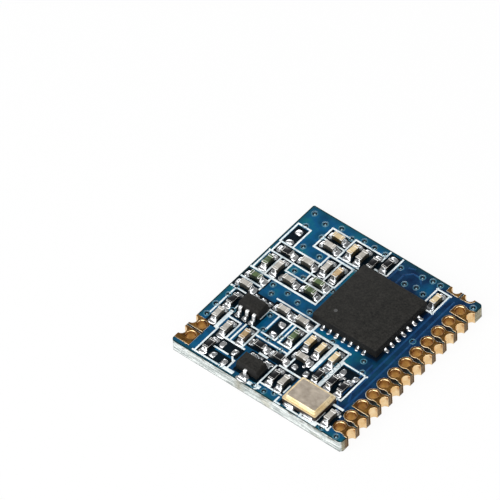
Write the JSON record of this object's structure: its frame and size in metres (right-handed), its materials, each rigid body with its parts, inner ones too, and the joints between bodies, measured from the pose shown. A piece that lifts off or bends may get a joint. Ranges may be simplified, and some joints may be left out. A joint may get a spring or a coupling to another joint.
{
  "type": "radio module on a castellated circuit board",
  "caption": "Small blue circuit board with castellated plated pads along one edge, a square radio chip, a crystal and many small chip parts.",
  "frame": {"origin": "middle of the board's underside, at the face of the pads that is soldered down", "axes": "+Z out of the component side; +X towards the edge with the row of twelve pads; +Y towards the edge with two half-holes"},
  "size_m": [0.0162, 0.0166, 0.002],
  "materials": {
    "laminate": "rough sawn edge",
    "solder_mask": "glossy lacquer",
    "ink_white": "matte",
    "gold_plating": "satin",
    "solder": "bright",
    "tin": "satin",
    "mould_compound": "fine grain",
    "crystal_ceramic": "matte",
    "lid_metal": "satin",
    "ceramic_beige": "satin",
    "ceramic_grey": "satin",
    "ceramic_tan": "satin",
    "resistor_black": "glazed top",
    "inductor_green": "satin"
  },
  "bodies": {
    "root": {"antenna_pads": "gold_plating", "bare_lands": "solder", "board_core": "laminate", "capacitor_01": "ceramic_beige", "capacitor_02": "ceramic_grey", "capacitor_03": "ceramic_beige", "capacitor_04": "ceramic_grey", "capacitor_05": "ceramic_grey", "capacitor_06": "ceramic_tan", "capacitor_07": "ceramic_grey", "capacitor_08": "ceramic_tan", "capacitor_09": "ceramic_grey", "capacitor_10": "ceramic_grey", "capacitor_11": "ceramic_grey", "capacitor_12": "ceramic_tan", "capacitor_13": "ceramic_grey", "capacitor_14": "ceramic_grey", "capacitor_15": "ceramic_grey", "capacitor_16": "ceramic_beige", "capacitor_17": "ceramic_beige", "capacitor_18": "ceramic_grey", "capacitor_19": "ceramic_beige", "capacitor_20": "ceramic_grey", "capacitor_21": "ceramic_beige", "capacitor_22": "ceramic_grey", "crystal_base": "crystal_ceramic", "crystal_lid": "lid_metal", "inductor_01": "inductor_green", "inductor_02": "inductor_green", "inductor_03": "inductor_green", "inductor_04": "inductor_green", "inductor_05": "inductor_green", "mask_bottom": "solder_mask", "mask_top": "solder_mask", "radio_body": "mould_compound", "radio_solder": "solder", "radio_terminals": "tin", "radio_thermal_pad": "tin", "rear_pads": "gold_plating", "resistor_01": "resistor_black", "resistor_02": "resistor_black", "resistor_03": "resistor_black", "resistor_04": "resistor_black", "resistor_05": "resistor_black", "resistor_06": "resistor_black", "resistor_07": "resistor_black", "resistor_08": "resistor_black", "resistor_09": "resistor_black", "resistor_10": "resistor_black", "resistor_11": "resistor_black", "row_pads": "gold_plating", "silkscreen": "ink_white", "six_lead_body": "mould_compound", "six_lead_leads": "tin", "solder_joints": "solder", "three_lead_body": "mould_compound", "three_lead_leads": "tin"}
  },
  "joints": []
}
